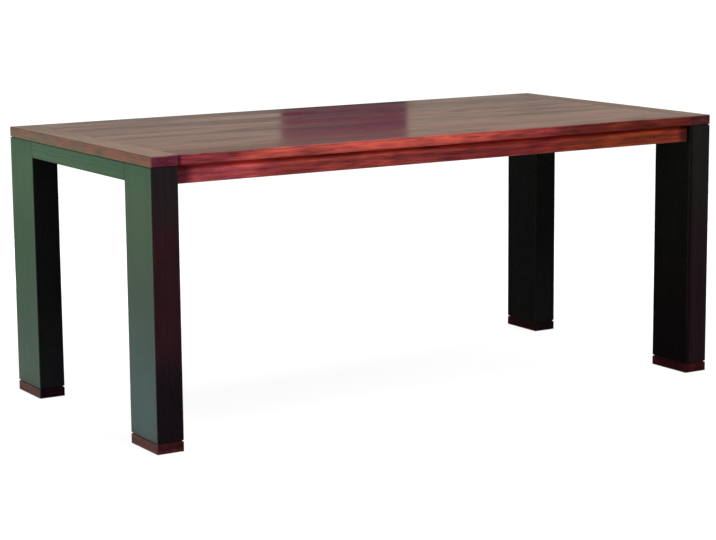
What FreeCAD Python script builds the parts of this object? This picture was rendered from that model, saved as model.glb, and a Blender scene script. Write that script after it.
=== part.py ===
import FreeCAD
import Part
import math
import os

# Parsons dining table: a planked top with breadboard ends on two portal end frames.
# X runs along the table, Y across it with the front at -Y, and Z up from the floor. Millimetres.
# Each corner piece is drawn once, at the front left, and mirrored to the other three corners.

V = FreeCAD.Vector
ALONG = V(1, 0, 0)
ACROSS = V(0, 1, 0)
UP = V(0, 0, 1)

# Flat sides that stand for a round on screws, and on dowels, bolts and glides
SCREW_SIDES = 6
DOWEL_SIDES = 10
HEX_SIDES = 6

# Overall sizes
TABLE_LENGTH = 1800.0
TABLE_WIDTH = 900.0
TABLE_HEIGHT = 760.0
TOP_THICKNESS = 27.0
TOP_EDGE_RADIUS = 2.0

# Legs: slabs that stand flush with the ends and the sides of the top
LEG_WIDTH = 75.0
LEG_DEPTH = 154.0
LEG_EDGE_RADIUS = 2.0

# Shadow line cut round the head of the base, just under the top
SHADOW_HEIGHT = 3.0
SHADOW_DEPTH = 3.0

# Lower arrises of rails, aprons and battens, planed off so that they don't splinter
ARRIS_EASE = 1.5

# Feet: blocks under the legs, set off from them by a recessed neck
FOOT_HEIGHT = 25.0
FOOT_NECK_HEIGHT = 4.0
FOOT_NECK_INSET = 4.0
FOOT_DOWEL_RADIUS = 6.0
FOOT_DOWEL_IN_FOOT = 20.0
FOOT_DOWEL_IN_LEG = 30.0
FOOT_DOWEL_SHARES = (0.33, 0.67)

# Glides: nylon discs let into the underside of each foot
GLIDE_RADIUS = 13.0
GLIDE_PROUD = 2.0
GLIDE_SEAT_DEPTH = 3.0
GLIDE_CHAMFER = 1.0
GLIDE_SHARES = (0.17, 0.83)

# End rails: tenoned between the two legs of an end frame, flush with their outer faces
RAIL_HEIGHT = 48.0
RAIL_THICKNESS = 30.0
RAIL_TENON_LENGTH = 50.0
RAIL_TENON_THICKNESS = 12.0
RAIL_TENON_SHOULDER = 8.0

# Side aprons: set back from the front of the legs and dowelled to them
APRON_HEIGHT = 48.0
APRON_THICKNESS = 28.0
APRON_SETBACK = 14.0
APRON_DOWEL_RADIUS = 5.0
APRON_DOWEL_LENGTH = 44.0
APRON_DOWEL_SHARES = (0.26, 0.74)

# Groove inside the aprons and rails, which takes the buttons and the battens
GROOVE_DROP = 14.0
GROOVE_HEIGHT = 8.0
GROOVE_DEPTH = 8.0

# Top: field boards edge to edge, tongued into a breadboard at each end
BOARD_WIDTH_SHARES = (0.118, 0.104, 0.112, 0.098, 0.121, 0.107, 0.115, 0.102, 0.123)
TONGUE_LENGTH = 25.0
TONGUE_THICKNESS = 9.0
TONGUE_STOP = 40.0
PEG_RADIUS = 5.0
PEG_BITE = 3.0
PEG_SLOT_TRAVEL = 4.0

# Corner blocks: screwed to the apron and bolted to the leg
BLOCK_REACH = 92.0
BLOCK_NOSE = 16.0
BLOCK_MARGIN = 2.0
BLOCK_HOLE_SHARES = (0.35, 0.72)
BLOCK_BOLT_SHARE = 0.68
BLOCK_SCREW_SHARE = 0.23
BLOCK_SCREW_SEAT = 18.0

# Leg bolts, their washers and the threaded inserts in the legs
BOLT_RADIUS = 4.0
BOLT_SEAT = 24.0
BOLT_BITE = 29.0
BOLT_HEAD_RADIUS = 6.5
BOLT_HEAD_HEIGHT = 8.0
BOLT_SOCKET_WIDTH = 6.0
BOLT_SOCKET_DEPTH = 4.0
WASHER_RADIUS = 10.0
WASHER_THICKNESS = 1.6
INSERT_RADIUS = 6.0
INSERT_LENGTH = 18.0

# Cross battens under the top
BATTEN_COUNT = 3
BATTEN_WIDTH = 60.0
BATTEN_THICKNESS = 22.0

# Buttons: hooked blocks that hold the top down and let it move
BUTTON_WIDTH = 32.0
BUTTON_REACH = 28.0
BUTTON_DRAW_GAP = 0.5
RAIL_BUTTON_SHARES = (0.25, 0.75)

# Wood screws
SCREW_RADIUS = 2.0
SCREW_HEAD_RADIUS = 4.5
SCREW_HEAD_HEIGHT = 3.0
SCREW_BITE = 14.0

# Clearances
ROUND_FIT = 0.1
LIP_FIT = 0.5
JOINT_END_GAP = 1.0
HOLE_END_GAP = 1.5
COUNTERBORE_GAP = 1.5
OVERRUN = 5.0
SAME_PLACE = 0.01

# Faces that the pieces share, at the front left corner
END_X = -TABLE_LENGTH / 2
FRONT_Y = -TABLE_WIDTH / 2
LEG_X = END_X + LEG_WIDTH
LEG_Y = FRONT_Y + LEG_DEPTH
LEG_MID_X = END_X + LEG_WIDTH / 2
UNDER_Z = TABLE_HEIGHT - TOP_THICKNESS
SHADOW_Z = UNDER_Z - SHADOW_HEIGHT
FOOT_Z = GLIDE_PROUD
FOOT_NECK_Z = FOOT_Z + FOOT_HEIGHT
LEG_Z = FOOT_NECK_Z + FOOT_NECK_HEIGHT
FOOT_DOWEL_LENGTH = FOOT_DOWEL_IN_FOOT + FOOT_DOWEL_IN_LEG
RAIL_X = END_X + RAIL_THICKNESS
RAIL_Z = UNDER_Z - RAIL_HEIGHT
APRON_OUT_Y = FRONT_Y + APRON_SETBACK
APRON_IN_Y = APRON_OUT_Y + APRON_THICKNESS
APRON_Z = UNDER_Z - APRON_HEIGHT
GROOVE_TOP_Z = UNDER_Z - GROOVE_DROP
GROOVE_Z = GROOVE_TOP_Z - GROOVE_HEIGHT
TONGUE_Z = UNDER_Z + (TOP_THICKNESS - TONGUE_THICKNESS) / 2
TONGUE_X = LEG_X - TONGUE_LENGTH
PEG_LENGTH = TONGUE_Z + TONGUE_THICKNESS + PEG_BITE - UNDER_Z
BLOCK_X = LEG_X + BLOCK_REACH
BLOCK_Z = APRON_Z + BLOCK_MARGIN
BLOCK_HEIGHT = APRON_HEIGHT - 2 * BLOCK_MARGIN
BUTTON_LIP = GROOVE_HEIGHT - LIP_FIT
BUTTON_Z = GROOVE_TOP_Z - BUTTON_LIP
BUTTON_CLAMP = UNDER_Z - BUTTON_Z
BATTEN_Z = UNDER_Z - BATTEN_THICKNESS

# Which mirror images, along X and across Y, bring a front left piece to each corner
CORNERS = {
    "front_left": (False, False),
    "front_right": (True, False),
    "back_left": (False, True),
    "back_right": (True, True),
}


def mirrored(shape, along=False, across=False):
    """The shape mirrored to the other end of the table, to its other side, or both."""
    if along:
        shape = shape.mirror(V(0, 0, 0), ALONG)
    if across:
        shape = shape.mirror(V(0, 0, 0), ACROSS)
    return shape


def at_every_corner(shapes):
    """Copies of front left shapes at all four corners, as one list."""
    return [mirrored(s, *images) for images in CORNERS.values() for s in shapes]


def bar(x_limits, y_limits, z_limits):
    """A square-edged solid between limits along each axis."""
    low, high = [V(*corner) for corner in zip(x_limits, y_limits, z_limits)]
    size = high - low
    return Part.makeBox(size.x, size.y, size.z, low)


def post(x_limits, y_limits, z_limits, radius):
    """A bar whose four upright edges are rounded."""
    square = bar(x_limits, y_limits, z_limits)
    upright = [e for e in square.Edges if e.BoundBox.ZLength > e.BoundBox.XLength + e.BoundBox.YLength]
    return square.makeFillet(radius, upright)


def inset(limits, amount):
    """Limits drawn in by the same amount at both ends."""
    return limits[0] + amount, limits[1] - amount


def extruded(outline, travel):
    """A solid swept from a closed outline of points."""
    return Part.Face(Part.makePolygon(outline + outline[:1])).extrude(travel)


def polygon(radius, sides):
    """Corners of a regular polygon about the origin, flat on the floor."""
    turns = [2 * math.pi * i / sides for i in range(sides)]
    return [V(radius * math.cos(turn), radius * math.sin(turn), 0) for turn in turns]


def rod(start, direction, radius, length, sides=DOWEL_SIDES):
    """A rod with flat sides, laid along a direction, for dowels and for drilling."""
    solid = extruded(polygon(radius, sides), UP * length)
    solid.Placement = FreeCAD.Placement(start, FreeCAD.Rotation(UP, direction))
    return solid


def drilled(shape, holes):
    """The shape less every hole that reaches it."""
    near = [h for h in holes if h.BoundBox.intersect(shape.BoundBox)]
    return shape.cut(Part.makeCompound(near)) if near else shape


# Fasteners, each with the hole that it needs


def dowel_hole(start, direction, radius, length):
    """The hole for a dowel, open beyond both ends by the end gap."""
    return rod(start - direction * HOLE_END_GAP, direction, radius + ROUND_FIT, length + 2 * HOLE_END_GAP)


def screw(seat, direction, clamp):
    """A wood screw: seat is under its head, and clamp is the thickness that it holds."""
    head = rod(seat, -direction, SCREW_HEAD_RADIUS, SCREW_HEAD_HEIGHT, SCREW_SIDES)
    shank = rod(seat, direction, SCREW_RADIUS, clamp + SCREW_BITE, SCREW_SIDES)
    return head.fuse(shank)


def screw_hole(seat, direction, clamp):
    """The pilot and clearance hole of a screw."""
    return rod(seat, direction, SCREW_RADIUS + ROUND_FIT, clamp + SCREW_BITE + HOLE_END_GAP, SCREW_SIDES)


def bolt(seat, direction):
    """A socket-head bolt that clamps a corner block and its washer to a leg."""
    head = rod(seat, -direction, BOLT_HEAD_RADIUS, BOLT_HEAD_HEIGHT)
    shank = rod(seat, direction, BOLT_RADIUS, BOLT_SEAT + WASHER_THICKNESS + BOLT_BITE)
    socket_radius = BOLT_SOCKET_WIDTH / math.sqrt(3)
    head_face = seat - direction * BOLT_HEAD_HEIGHT
    return head.fuse(shank).cut(rod(head_face, direction, socket_radius, BOLT_SOCKET_DEPTH, HEX_SIDES))


def ring(start, direction, radius, bore, length):
    """A washer or a threaded insert."""
    return rod(start, direction, radius, length).cut(rod(start, direction, bore, length))


# Where the fasteners of the front left corner go


def foot_dowel_places():
    """Lower ends of the two dowels between a foot and its leg."""
    lower_z = LEG_Z - FOOT_DOWEL_IN_FOOT
    return [V(LEG_MID_X, FRONT_Y + LEG_DEPTH * share, lower_z) for share in FOOT_DOWEL_SHARES]


def glide_places():
    """Centres of a foot's two glides, on the floor."""
    return [V(LEG_MID_X, FRONT_Y + LEG_DEPTH * share, 0) for share in GLIDE_SHARES]


def apron_dowel_places():
    """Left ends of the two dowels between the front apron and the leg."""
    x = LEG_X - APRON_DOWEL_LENGTH / 2
    y = (APRON_OUT_Y + APRON_IN_Y) / 2
    return [V(x, y, APRON_Z + APRON_HEIGHT * share) for share in APRON_DOWEL_SHARES]


def bolt_places():
    """Washer seats of the two bolts from the corner block into the leg."""
    z = BLOCK_Z + BLOCK_HEIGHT * BLOCK_BOLT_SHARE
    return [V(LEG_X + BOLT_SEAT, APRON_IN_Y + BLOCK_REACH * share, z) for share in BLOCK_HOLE_SHARES]


def block_screw_places():
    """Head seats of the two screws from the corner block into the apron."""
    z = BLOCK_Z + BLOCK_HEIGHT * BLOCK_SCREW_SHARE
    return [V(LEG_X + BLOCK_REACH * share, APRON_IN_Y + BLOCK_SCREW_SEAT, z) for share in BLOCK_HOLE_SHARES]


# Where the pieces under the top go


def board_limits():
    """Front and back edge of each field board, from the front board to the back one."""
    limits = []
    front = FRONT_Y
    for share in BOARD_WIDTH_SHARES:
        back = front + TABLE_WIDTH * share / sum(BOARD_WIDTH_SHARES)
        limits.append((front, back))
        front = back
    return limits


def tongue_limits(board):
    """The stretch of a board's end that enters the stopped groove of a breadboard."""
    return max(board[0], FRONT_Y + TONGUE_STOP), min(board[1], -FRONT_Y - TONGUE_STOP)


def pegged_boards():
    """Numbers of the boards that are pegged to the breadboards: the first, middle and last."""
    last = len(BOARD_WIDTH_SHARES) - 1
    return 0, last // 2, last


def peg_places():
    """Lower ends of the pegs in the left breadboard."""
    limits = board_limits()
    stretches = [tongue_limits(limits[number]) for number in pegged_boards()]
    return [V(LEG_X - TONGUE_LENGTH / 2, sum(stretch) / 2, UNDER_Z) for stretch in stretches]


def batten_centres():
    """X of each batten's middle, evenly spaced between the corner blocks."""
    pitch = -2 * BLOCK_X / (BATTEN_COUNT + 1)
    return [BLOCK_X + pitch * (i + 1) for i in range(BATTEN_COUNT)]


def apron_button_centres():
    """X of the buttons on an apron: midway between battens, and between the last ones and the blocks."""
    stations = [BLOCK_X] + batten_centres() + [-BLOCK_X]
    return [(a + b) / 2 for a, b in zip(stations, stations[1:])]


def rail_button_centres():
    """Y of the two buttons on an end rail."""
    rail_length = -2 * LEG_Y
    return [LEG_Y + rail_length * share for share in RAIL_BUTTON_SHARES]


def apron_button_seats():
    """Screw seats of the buttons along the front apron."""
    return [V(x, APRON_IN_Y + BUTTON_REACH / 2, BUTTON_Z) for x in apron_button_centres()]


def rail_button_seats():
    """Screw seats of the buttons along the left end rail."""
    return [V(RAIL_X + BUTTON_REACH / 2, y, BUTTON_Z) for y in rail_button_centres()]


def on_both_aprons(shapes):
    """Shapes drawn at the front apron, with their mirror images at the back one."""
    return shapes + [mirrored(s, across=True) for s in shapes]


def on_both_ends(shapes):
    """Shapes drawn at the left end, with their mirror images at the right end."""
    return shapes + [mirrored(s, along=True) for s in shapes]


def batten_screw_seats():
    """Head seats of the batten screws, under every second board."""
    middles = [sum(board) / 2 for board in board_limits()[::2]]
    return [V(x, y, BATTEN_Z) for x in batten_centres() for y in middles]


def top_holes():
    """Holes drilled up into the underside of the top."""
    apron_holes = [screw_hole(seat, UP, BUTTON_CLAMP) for seat in apron_button_seats()]
    rail_holes = [screw_hole(seat, UP, BUTTON_CLAMP) for seat in rail_button_seats()]
    batten_holes = [screw_hole(seat, UP, BATTEN_THICKNESS) for seat in batten_screw_seats()]
    return on_both_aprons(apron_holes) + on_both_ends(rail_holes) + batten_holes


# End frames


def leg():
    """A leg with its rebated head, the rail's mortise and the holes for dowels and inserts."""
    x_limits = (END_X, LEG_X)
    y_limits = (FRONT_Y, LEG_Y)
    shaft = post(x_limits, y_limits, (LEG_Z, SHADOW_Z), LEG_EDGE_RADIUS)
    head = bar(inset(x_limits, SHADOW_DEPTH), inset(y_limits, SHADOW_DEPTH), (SHADOW_Z, UNDER_Z))
    solid = shaft.fuse(head).removeSplitter()
    tenon_x, tenon_z = rail_tenon_limits()
    mortise_y = (LEG_Y - RAIL_TENON_LENGTH - JOINT_END_GAP, LEG_Y + OVERRUN)
    holes = [bar(tenon_x, mortise_y, tenon_z)]
    holes += [dowel_hole(p, UP, FOOT_DOWEL_RADIUS, FOOT_DOWEL_LENGTH) for p in foot_dowel_places()]
    holes += [dowel_hole(p, ALONG, APRON_DOWEL_RADIUS, APRON_DOWEL_LENGTH) for p in apron_dowel_places()]
    for seat in bolt_places():
        face = V(LEG_X, seat.y, seat.z)
        holes.append(rod(face, -ALONG, INSERT_RADIUS + ROUND_FIT, INSERT_LENGTH))
        holes.append(rod(face, -ALONG, BOLT_RADIUS + ROUND_FIT, BOLT_BITE + HOLE_END_GAP))
    return drilled(solid, holes)


def foot():
    """A foot block with its recessed neck, dowel holes and glide seats."""
    x_limits = (END_X, LEG_X)
    y_limits = (FRONT_Y, LEG_Y)
    block = post(x_limits, y_limits, (FOOT_Z, FOOT_NECK_Z), LEG_EDGE_RADIUS)
    neck = bar(inset(x_limits, FOOT_NECK_INSET), inset(y_limits, FOOT_NECK_INSET), (FOOT_NECK_Z, LEG_Z))
    holes = [dowel_hole(p, UP, FOOT_DOWEL_RADIUS, FOOT_DOWEL_LENGTH) for p in foot_dowel_places()]
    for place in glide_places():
        holes.append(rod(place, UP, GLIDE_RADIUS + ROUND_FIT, GLIDE_PROUD + GLIDE_SEAT_DEPTH))
    return drilled(block.fuse(neck).removeSplitter(), holes)


def glide(place):
    """A glide: a disc pressed into the foot, with a chamfer round its lower edge."""
    disc = rod(place, UP, GLIDE_RADIUS, GLIDE_PROUD + GLIDE_SEAT_DEPTH)
    return disc.makeChamfer(GLIDE_CHAMFER, [e for e in disc.Edges if e.BoundBox.ZMax < SAME_PLACE])


def rail_tenon_limits():
    """X limits and Z limits of the tenon on the left end rail."""
    middle_x = (END_X + RAIL_X) / 2
    x_limits = (middle_x - RAIL_TENON_THICKNESS / 2, middle_x + RAIL_TENON_THICKNESS / 2)
    z_limits = (RAIL_Z + RAIL_TENON_SHOULDER, SHADOW_Z - RAIL_TENON_SHOULDER)
    return x_limits, z_limits


def framing_section(thickness, low_z):
    """Cross-section shared by rails and aprons, as (distance from the outer face, Z) pairs."""
    return [
        (0, low_z + ARRIS_EASE),
        (ARRIS_EASE, low_z),
        (thickness - ARRIS_EASE, low_z),
        (thickness, low_z + ARRIS_EASE),
        (thickness, GROOVE_Z),
        (thickness - GROOVE_DEPTH, GROOVE_Z),
        (thickness - GROOVE_DEPTH, GROOVE_TOP_Z),
        (thickness, GROOVE_TOP_Z),
        (thickness, UNDER_Z),
        (SHADOW_DEPTH, UNDER_Z),
        (SHADOW_DEPTH, SHADOW_Z),
        (0, SHADOW_Z),
    ]


def end_rail():
    """The left end rail with its shadow rebate, button groove and two tenons."""
    section = [V(END_X + out, LEG_Y, z) for out, z in framing_section(RAIL_THICKNESS, RAIL_Z)]
    solid = extruded(section, ACROSS * (-2 * LEG_Y))
    x_limits, z_limits = rail_tenon_limits()
    reach = -LEG_Y + RAIL_TENON_LENGTH
    return solid.fuse(bar(x_limits, (-reach, reach), z_limits)).removeSplitter()


def apron():
    """The front apron with its shadow rebate, button groove and fastener holes."""
    section = [V(LEG_X, APRON_OUT_Y + out, z) for out, z in framing_section(APRON_THICKNESS, APRON_Z)]
    solid = extruded(section, ALONG * (-2 * LEG_X))
    holes = [dowel_hole(p, ALONG, APRON_DOWEL_RADIUS, APRON_DOWEL_LENGTH) for p in apron_dowel_places()]
    holes += [screw_hole(p, -ACROSS, BLOCK_SCREW_SEAT) for p in block_screw_places()]
    return drilled(solid, on_both_ends(holes))


def corner_block():
    """A corner block between apron and leg, counterbored for its bolts and screws."""
    near, far = BLOCK_NOSE, BLOCK_REACH
    outline = [(0, 0), (far, 0), (far, near), (near, far), (0, far)]
    solid = extruded([V(LEG_X + u, APRON_IN_Y + v, BLOCK_Z) for u, v in outline], UP * BLOCK_HEIGHT)
    holes = []
    for seat in bolt_places():
        holes.append(rod(seat, ALONG, WASHER_RADIUS + COUNTERBORE_GAP, BLOCK_REACH))
        holes.append(rod(seat, -ALONG, BOLT_RADIUS + ROUND_FIT, BOLT_SEAT))
    for seat in block_screw_places():
        holes.append(rod(seat, ACROSS, SCREW_HEAD_RADIUS + COUNTERBORE_GAP, BLOCK_REACH, SCREW_SIDES))
        holes.append(screw_hole(seat, -ACROSS, BLOCK_SCREW_SEAT))
    return drilled(solid, holes)


# Top


def breadboard():
    """The left breadboard end with eased upper edges, a stopped groove and blind peg holes."""
    solid = bar((END_X, LEG_X), (FRONT_Y, -FRONT_Y), (UNDER_Z, TABLE_HEIGHT))
    eased = [e for e in solid.Edges if outer_arris(e)]
    solid = solid.makeFillet(TOP_EDGE_RADIUS, eased)
    groove_x = (TONGUE_X - JOINT_END_GAP, LEG_X + OVERRUN)
    groove_y = inset((FRONT_Y, -FRONT_Y), TONGUE_STOP)
    solid = solid.cut(bar(groove_x, groove_y, (TONGUE_Z, TONGUE_Z + TONGUE_THICKNESS)))
    return drilled(solid, [peg_hole(p) for p in peg_places()] + top_holes())


def outer_arris(edge):
    """True for the upper edges and upright corners on the outside of the left breadboard."""
    centre = edge.CenterOfMass
    on_end = abs(centre.x - END_X) < SAME_PLACE
    on_side = abs(abs(centre.y) + FRONT_Y) < SAME_PLACE
    on_top = abs(centre.z - TABLE_HEIGHT) < SAME_PLACE
    return on_top and (on_end or on_side) or on_end and on_side


def board(number):
    """A field board with a tongue at each end, the outer boards with one eased edge."""
    limits = board_limits()[number]
    solid = bar((LEG_X, -LEG_X), limits, (UNDER_Z, TABLE_HEIGHT))
    outer_y = {0: FRONT_Y, len(BOARD_WIDTH_SHARES) - 1: -FRONT_Y}.get(number)
    if outer_y is not None:
        solid = solid.makeFillet(TOP_EDGE_RADIUS, [e for e in solid.Edges if long_arris(e, outer_y)])
    reach = -TONGUE_X
    tongue_z = (TONGUE_Z, TONGUE_Z + TONGUE_THICKNESS)
    solid = solid.fuse(bar((-reach, reach), tongue_limits(limits), tongue_z)).removeSplitter()
    front_peg, middle_peg, back_peg = peg_places()
    pegs = [peg_slot(front_peg), peg_hole(middle_peg), peg_slot(back_peg)]
    return drilled(solid, on_both_ends(pegs) + top_holes())


def long_arris(edge, outer_y):
    """True for the upper long edge on the outer side of a board."""
    centre = edge.CenterOfMass
    return abs(centre.y - outer_y) < SAME_PLACE and abs(centre.z - TABLE_HEIGHT) < SAME_PLACE


def peg_hole(place):
    """A blind hole for a peg, drilled from below."""
    return rod(place, UP, PEG_RADIUS + ROUND_FIT, PEG_LENGTH)


def peg_slot(place):
    """A peg's hole lengthened across the table, so that the outer boards can move with the seasons."""
    radius = PEG_RADIUS + ROUND_FIT
    travel = PEG_SLOT_TRAVEL / 2
    x_limits = (place.x - radius, place.x + radius)
    middle = bar(x_limits, (place.y - travel, place.y + travel), (place.z, place.z + PEG_LENGTH))
    return middle.fuse([peg_hole(place - ACROSS * travel), peg_hole(place + ACROSS * travel)])


def batten(x):
    """A cross batten with eased lower arrises, whose stub tenons sit in the aprons' grooves."""
    left, right = x - BATTEN_WIDTH / 2, x + BATTEN_WIDTH / 2
    section = [(left, UNDER_Z), (left, BATTEN_Z + ARRIS_EASE), (left + ARRIS_EASE, BATTEN_Z)]
    section += [(right - ARRIS_EASE, BATTEN_Z), (right, BATTEN_Z + ARRIS_EASE), (right, UNDER_Z)]
    solid = extruded([V(out, APRON_IN_Y, z) for out, z in section], ACROSS * (-2 * APRON_IN_Y))
    stub_y = (APRON_IN_Y - GROOVE_DEPTH + JOINT_END_GAP, APRON_IN_Y)
    stub = bar((left, right), stub_y, (GROOVE_Z, GROOVE_TOP_Z))
    solid = solid.fuse(on_both_aprons([stub])).removeSplitter()
    return drilled(solid, [screw_hole(seat, UP, BATTEN_THICKNESS) for seat in batten_screw_seats()])


def button(seat, inward):
    """A button hooked into a groove: seat is its screw's place, and inward points away from the groove."""
    width_way = UP.cross(inward)
    back = seat - inward * (BUTTON_REACH / 2) - width_way * (BUTTON_WIDTH / 2)
    lip = GROOVE_DEPTH - JOINT_END_GAP
    body_height = UNDER_Z - BUTTON_DRAW_GAP - BUTTON_Z
    section = [(-lip, 0), (BUTTON_REACH, 0), (BUTTON_REACH, body_height), (0, body_height)]
    section += [(0, BUTTON_LIP), (-lip, BUTTON_LIP)]
    outline = [back + inward * out + UP * rise for out, rise in section]
    return drilled(extruded(outline, width_way * BUTTON_WIDTH), [screw_hole(seat, UP, BUTTON_CLAMP)])


# Assembly: every piece by name, with alike small pieces in one group


def top_pieces():
    """The boards, the breadboard ends and their pegs."""
    named = {f"top_board_{number + 1}": [board(number)] for number in range(len(BOARD_WIDTH_SHARES))}
    named["breadboard_left"] = [breadboard()]
    named["breadboard_right"] = [mirrored(breadboard(), along=True)]
    named["breadboard_pegs"] = on_both_ends([rod(p, UP, PEG_RADIUS, PEG_LENGTH) for p in peg_places()])
    return named


def base_pieces():
    """The legs, feet, corner blocks, rails and aprons."""
    named = {}
    for kind, solid in {"leg": leg(), "foot": foot(), "corner_block": corner_block()}.items():
        for corner, images in CORNERS.items():
            named[f"{kind}_{corner}"] = [mirrored(solid, *images)]
    named["end_rail_left"] = [end_rail()]
    named["end_rail_right"] = [mirrored(end_rail(), along=True)]
    named["apron_front"] = [apron()]
    named["apron_back"] = [mirrored(apron(), across=True)]
    return named


def under_top_pieces():
    """The battens and the buttons, with their screws."""
    named = {f"cross_batten_{number + 1}": [batten(x)] for number, x in enumerate(batten_centres())}
    apron_buttons = [button(seat, ACROSS) for seat in apron_button_seats()]
    rail_buttons = [button(seat, ALONG) for seat in rail_button_seats()]
    named["top_buttons_front"] = apron_buttons
    named["top_buttons_back"] = [mirrored(b, across=True) for b in apron_buttons]
    named["top_buttons_left"] = rail_buttons
    named["top_buttons_right"] = [mirrored(b, along=True) for b in rail_buttons]
    apron_screws = [screw(seat, UP, BUTTON_CLAMP) for seat in apron_button_seats()]
    rail_screws = [screw(seat, UP, BUTTON_CLAMP) for seat in rail_button_seats()]
    named["button_screws"] = on_both_aprons(apron_screws) + on_both_ends(rail_screws)
    named["batten_screws"] = [screw(seat, UP, BATTEN_THICKNESS) for seat in batten_screw_seats()]
    return named


def corner_fasteners():
    """The dowels, glides, bolts, washers, inserts and screws at the four corners."""
    bore = BOLT_RADIUS + ROUND_FIT
    leg_faces = [V(LEG_X, p.y, p.z) for p in bolt_places()]
    front_left = {
        "foot_dowels": [rod(p, UP, FOOT_DOWEL_RADIUS, FOOT_DOWEL_LENGTH) for p in foot_dowel_places()],
        "foot_glides": [glide(p) for p in glide_places()],
        "apron_dowels": [
            rod(p, ALONG, APRON_DOWEL_RADIUS, APRON_DOWEL_LENGTH) for p in apron_dowel_places()
        ],
        "leg_inserts": [ring(p, -ALONG, INSERT_RADIUS, bore, INSERT_LENGTH) for p in leg_faces],
        "bolt_washers": [ring(p, ALONG, WASHER_RADIUS, bore, WASHER_THICKNESS) for p in bolt_places()],
        "leg_bolts": [bolt(p + ALONG * WASHER_THICKNESS, -ALONG) for p in bolt_places()],
        "block_screws": [screw(p, -ACROSS, BLOCK_SCREW_SEAT) for p in block_screw_places()],
    }
    return {name: at_every_corner(solids) for name, solids in front_left.items()}


def save(name, solids):
    """Writes one piece, or one group of alike pieces, to its own file."""
    shape = solids[0] if len(solids) == 1 else Part.makeCompound(solids)
    shape.exportStep(os.path.join("parts", f"{name}.step"))


os.makedirs("parts", exist_ok=True)
for group in (top_pieces(), base_pieces(), under_top_pieces(), corner_fasteners()):
    for piece_name, piece_solids in group.items():
        save(piece_name, piece_solids)
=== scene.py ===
import math
from collections import namedtuple

import bmesh
import bpy
from mathutils import Matrix, Vector


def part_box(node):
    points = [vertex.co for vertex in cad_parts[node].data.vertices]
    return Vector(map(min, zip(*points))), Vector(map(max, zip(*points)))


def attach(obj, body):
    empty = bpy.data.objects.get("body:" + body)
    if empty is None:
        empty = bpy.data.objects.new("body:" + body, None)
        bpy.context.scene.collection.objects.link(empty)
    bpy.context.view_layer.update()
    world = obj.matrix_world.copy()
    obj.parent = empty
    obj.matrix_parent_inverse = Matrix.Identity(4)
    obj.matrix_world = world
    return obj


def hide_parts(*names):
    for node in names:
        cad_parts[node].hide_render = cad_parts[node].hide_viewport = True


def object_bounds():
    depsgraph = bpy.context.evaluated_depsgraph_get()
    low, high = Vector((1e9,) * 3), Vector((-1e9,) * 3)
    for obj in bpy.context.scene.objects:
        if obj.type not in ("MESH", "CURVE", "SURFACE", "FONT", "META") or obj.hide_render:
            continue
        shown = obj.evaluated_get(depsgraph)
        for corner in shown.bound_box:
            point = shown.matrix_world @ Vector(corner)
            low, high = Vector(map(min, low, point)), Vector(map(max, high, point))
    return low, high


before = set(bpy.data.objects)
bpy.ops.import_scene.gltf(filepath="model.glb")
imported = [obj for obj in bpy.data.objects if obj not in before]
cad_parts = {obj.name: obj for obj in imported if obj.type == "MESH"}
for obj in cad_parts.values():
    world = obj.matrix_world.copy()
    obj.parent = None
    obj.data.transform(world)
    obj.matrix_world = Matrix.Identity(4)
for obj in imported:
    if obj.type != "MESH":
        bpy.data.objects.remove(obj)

# Looks of a parsons dining table. Metres, X along the table, Y across it with the front at -Y, Z up.

cad_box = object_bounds()


def middle_of(box):
    """The middle of a box."""
    low, high = (Vector(corner) for corner in box)
    return (low + high) / 2


# Places on the table, from the frame
TABLE_LEFT, TABLE_FRONT = cad_box[0][:2]
TABLE_RIGHT, TABLE_BACK, TOP_LEVEL = cad_box[1]
TOP_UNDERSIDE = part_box("top_board_1")[0][2]
EDGE_LEVEL = middle_of(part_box("top_board_1"))[2]
APRON_LEFT, APRON_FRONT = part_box("apron_front")[0][:2]
APRON_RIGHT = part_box("apron_front")[1][0]
APRON_LEVEL = middle_of(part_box("apron_front"))[2]
LEFT_LEG_X, FRONT_LEG_Y, LEG_LEVEL = middle_of(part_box("leg_front_left"))
RIGHT_LEG_X, BACK_LEG_Y, FOOT_LEVEL = middle_of(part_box("foot_back_right"))
BACK_LEG_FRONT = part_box("leg_back_left")[0][1]

# Camera, where the photograph was taken from
IMAGE_WIDTH_PIXELS = 716
FOCAL_LENGTH_PIXELS = 2120.6
SENSOR_WIDTH_MM = 36.0
CAMERA_PLACE = (-3.1791, -5.1535, 1.3674)
CAMERA_YAW_DEGREES = 31.449
CAMERA_PITCH_DEGREES = 9.761
CAMERA_ROLL_DEGREES = 0.486
VIEW_DISTANCE = 200.0

# Studio: a white floor, soft boxes at the front, the right and the back, and soft light from all round
FLOOR_RADIUS = 60.0
STUDIO_SIDES = 96
FLOOR_SHOWN_COLOUR = (0.95, 0.95, 0.95, 1.0)
FLOOR_BOUNCE_COLOUR = (0.25, 0.25, 0.25, 1.0)
FLOOR_GLOW_SHARE = 0.8
FLOOR_LIGHT_STRENGTH = 4.1
FLOOR_LIGHT_SPREAD_DEGREES = 50.0
AMBIENT_STRENGTH = 0.42
BACKGROUND_COLOUR = (1.0, 1.0, 1.0, 1.0)
KEY_PLACE = (0.3, -3.3, 2.75)
KEY_AIM = (0.0, 0.0, 0.6)
KEY_SIZE = 1.0
KEY_WATTS = 150.0
FILL_HEIGHT = 0.40
FILL_SIZE = 0.6
FILL_WATTS = 60.0
RIGHT_FILL_PLACE = (3.4, 0.9, FILL_HEIGHT)
BACK_FILL_PLACE = (-0.6, 3.2, FILL_HEIGHT)
Lamp = namedtuple("Lamp", "place aim size watts")
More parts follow.
